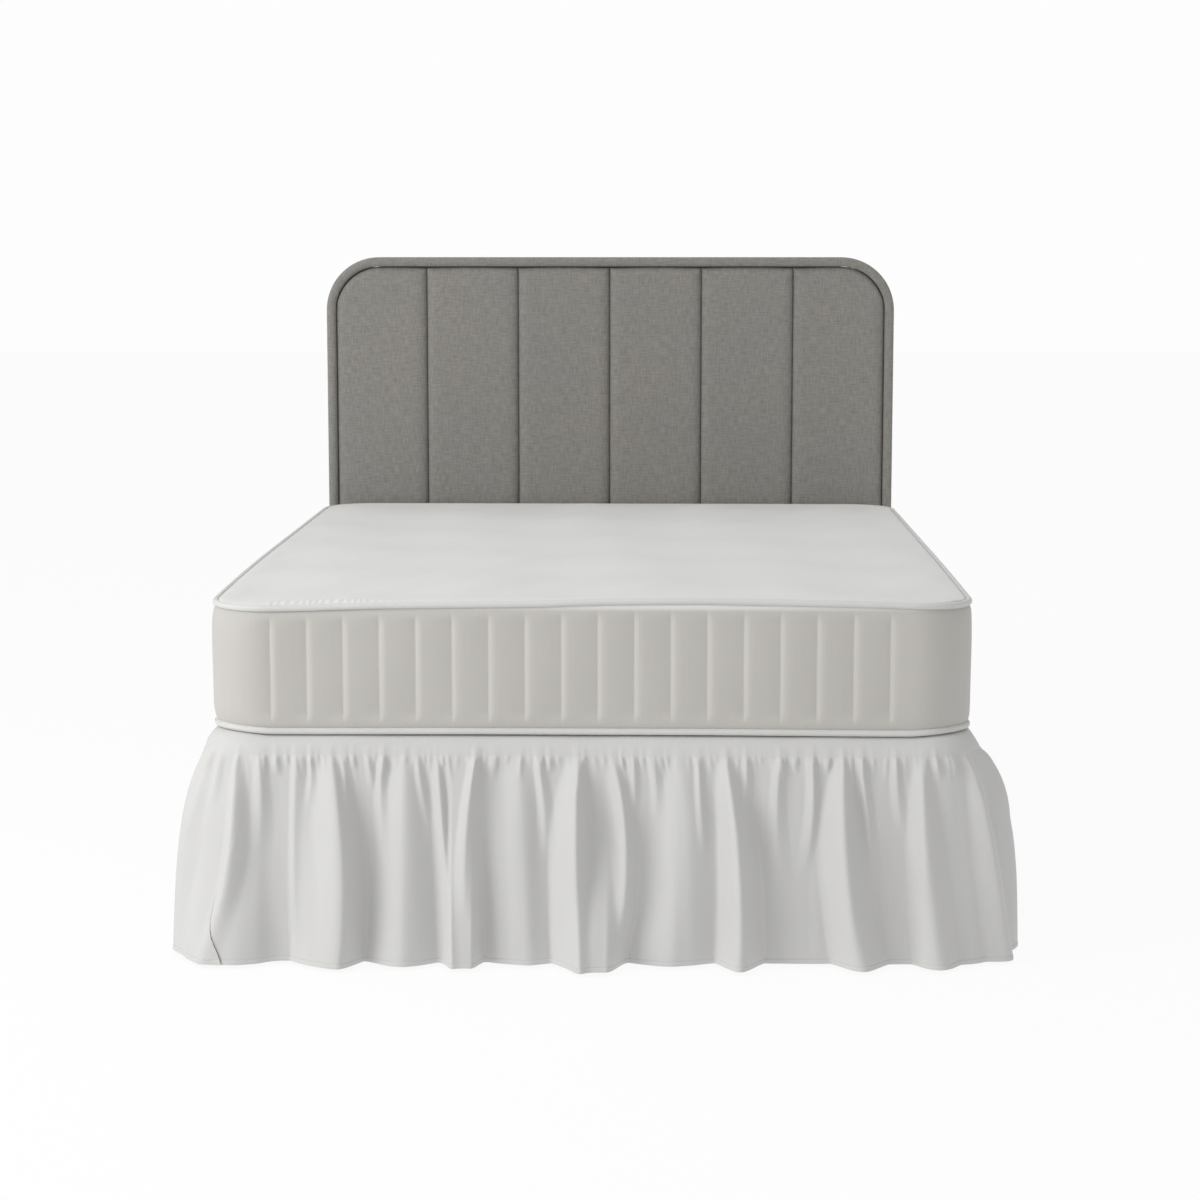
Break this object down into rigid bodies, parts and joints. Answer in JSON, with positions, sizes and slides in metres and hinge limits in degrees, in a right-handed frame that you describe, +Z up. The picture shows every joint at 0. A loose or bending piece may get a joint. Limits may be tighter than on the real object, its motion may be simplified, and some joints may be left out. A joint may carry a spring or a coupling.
{
  "type": "bed skirt on a bed",
  "caption": "Gathered bed skirt with a flat deck, a plain band and frilled drops on three sides, on a bed with mattress and padded headboard.",
  "frame": {"origin": "on the floor under the middle of the bed's whole footprint", "axes": "+Z up, -Y towards the foot of the bed, +X to the right seen from the foot"},
  "size_m": [1.6975, 2.1929, 1.363],
  "materials": {
    "skirt_cotton": "plain woven white cotton, matt",
    "mattress_knit": "quilted off-white knit, matt",
    "mattress_tape": "smooth white edging tape",
    "divan_cloth": "plain pale upholstery cloth",
    "headboard_cloth": "grey woven upholstery cloth, matt",
    "leg_plastic": "black moulded glide"
  },
  "bodies": {
    "root": {"deck": "skirt_cotton", "band": "skirt_cotton", "drop_foot": "skirt_cotton", "drop_left": "skirt_cotton", "drop_right": "skirt_cotton", "base": "divan_cloth", "leg_1": "leg_plastic", "leg_2": "leg_plastic", "leg_3": "leg_plastic", "leg_4": "leg_plastic", "leg_5": "leg_plastic", "leg_6": "leg_plastic", "mattress": "mattress_knit", "mattress_tape_top": "mattress_tape", "mattress_tape_bottom": "mattress_tape", "headboard_board": "headboard_cloth", "headboard_rim": "headboard_cloth", "headboard_pad_1": "headboard_cloth", "headboard_pad_2": "headboard_cloth", "headboard_pad_3": "headboard_cloth", "headboard_pad_4": "headboard_cloth", "headboard_pad_5": "headboard_cloth", "headboard_pad_6": "headboard_cloth"}
  },
  "joints": []
}
